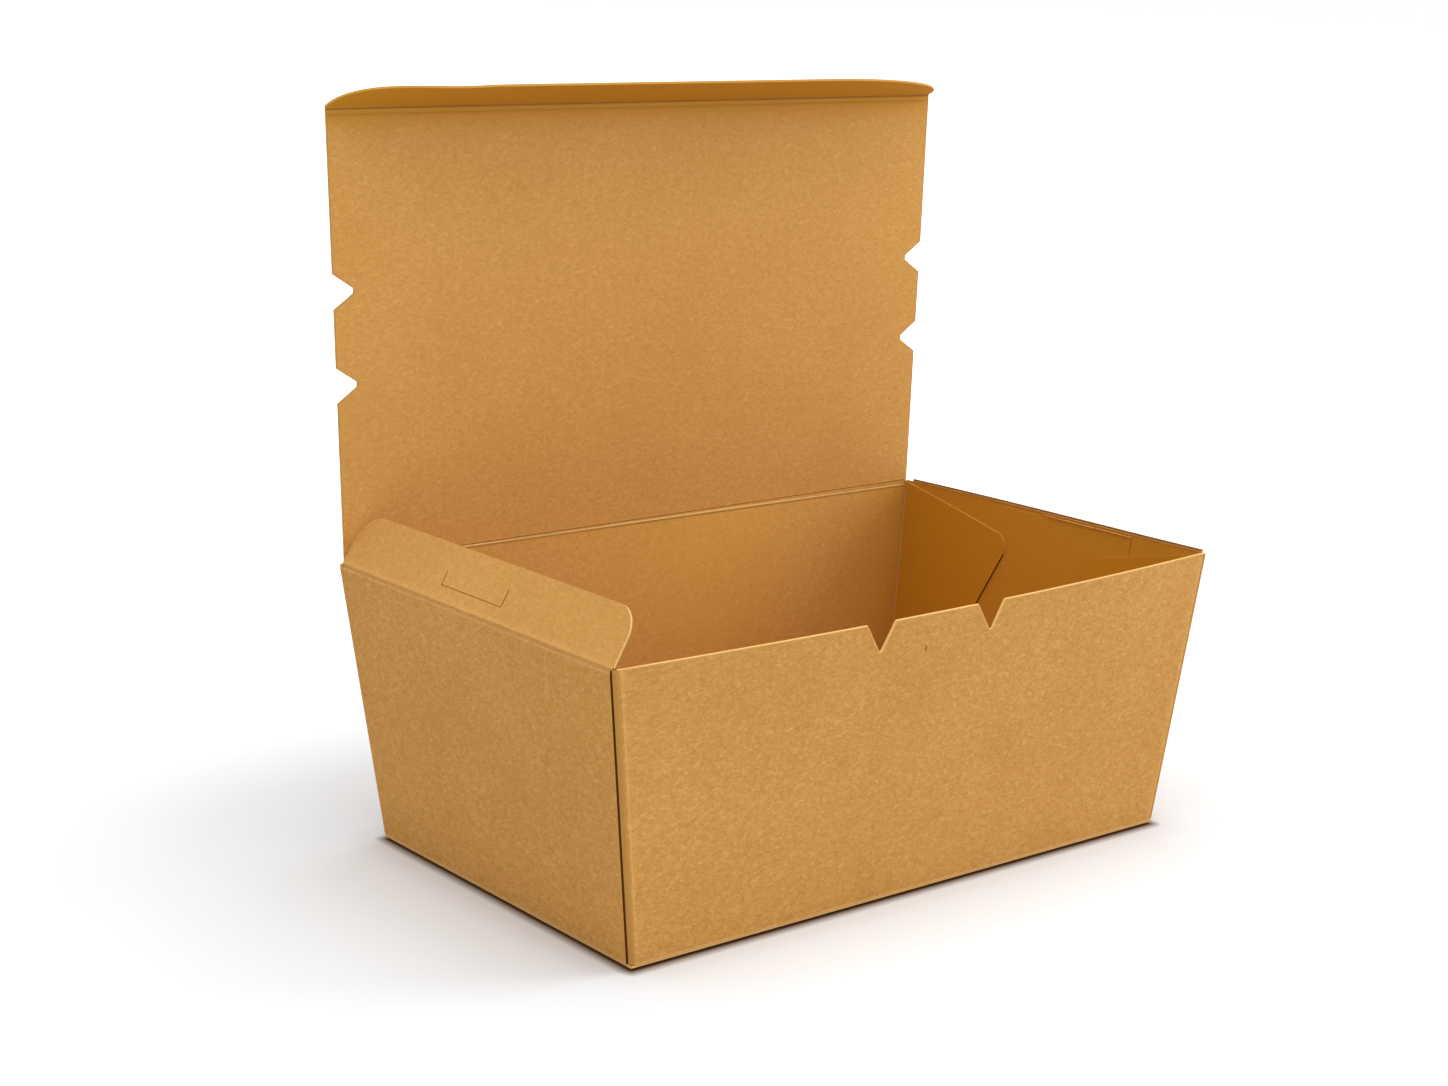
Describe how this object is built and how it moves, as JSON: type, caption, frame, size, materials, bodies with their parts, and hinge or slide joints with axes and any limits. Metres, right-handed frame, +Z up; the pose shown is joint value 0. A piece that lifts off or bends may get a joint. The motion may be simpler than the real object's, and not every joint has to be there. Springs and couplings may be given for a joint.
{
  "type": "takeaway box",
  "caption": "Tapered kraft board food box: a glued tray with an upright lid hinged on the back wall, a tuck flap folded forward from it and a slotted flap on each side wall.",
  "frame": {"origin": "middle of the base's underside, on the surface that the box stands on", "axes": "+X along the box's long side to the right, +Y towards the back wall that carries the lid, +Z up"},
  "size_m": [0.205, 0.124, 0.1996],
  "materials": {
    "kraft_board": "uncoated matte kraft"
  },
  "bodies": {
    "tray": {"tray": "kraft_board"},
    "lid": {"lid": "kraft_board"},
    "tuck_flap": {"tuck_flap": "kraft_board"},
    "left_flap": {"left_flap": "kraft_board"},
    "right_flap": {"right_flap": "kraft_board"}
  },
  "joints": [
    {"name": "lid_hinge", "type": "hinge", "parent": "tray", "child": "lid", "pos_m": [0, 0.05995, 0.076], "axis": [-1, 0, 0], "range_deg": [-86, 120]},
    {"name": "tuck_fold", "type": "hinge", "parent": "lid", "child": "tuck_flap", "pos_m": [0, 0.05995, 0.193], "axis": [-1, 0, 0], "range_deg": [-31, 43]},
    {"name": "left_flap_fold", "type": "hinge", "parent": "tray", "child": "left_flap", "pos_m": [-0.0997, 0, 0.0757], "axis": [0, -1, 0], "range_deg": [-104, 145]},
    {"name": "right_flap_fold", "type": "hinge", "parent": "tray", "child": "right_flap", "pos_m": [0.1006, 0, 0.0757], "axis": [0, -1, 0], "range_deg": [0, 80]}
  ],
  "couplings": [
    {"joint": "tuck_fold", "follows": "lid_hinge", "ratio": 0.35},
    {"joint": "left_flap_fold", "follows": "lid_hinge", "ratio": 1.2}
  ]
}
